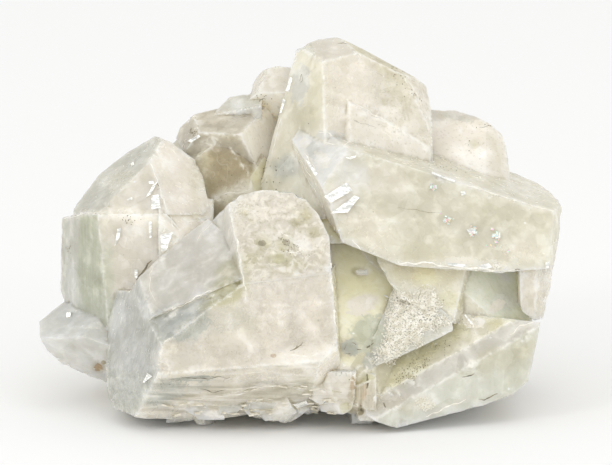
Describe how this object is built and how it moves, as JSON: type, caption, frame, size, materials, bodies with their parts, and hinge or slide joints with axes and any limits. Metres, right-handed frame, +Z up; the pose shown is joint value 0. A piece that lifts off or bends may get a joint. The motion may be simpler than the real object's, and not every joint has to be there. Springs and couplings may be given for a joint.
{
  "type": "datolite mineral specimen",
  "caption": "Loose cluster of pale, glassy, blocky crystals grown into each other, with a broken base cut flat for resting on a shelf.",
  "frame": {"origin": "bottom centre of the specimen's box, on the surface that it rests on", "axes": "+Z up, -Y towards the viewer of the display side, +X to that viewer's right, along the longest extent"},
  "size_m": [0.0802, 0.0584, 0.0545],
  "materials": {
    "datolite": "glassy crystal faces, in places frosted or crumbly"
  },
  "bodies": {
    "root": {"datolite_crystals": "datolite"}
  },
  "joints": []
}
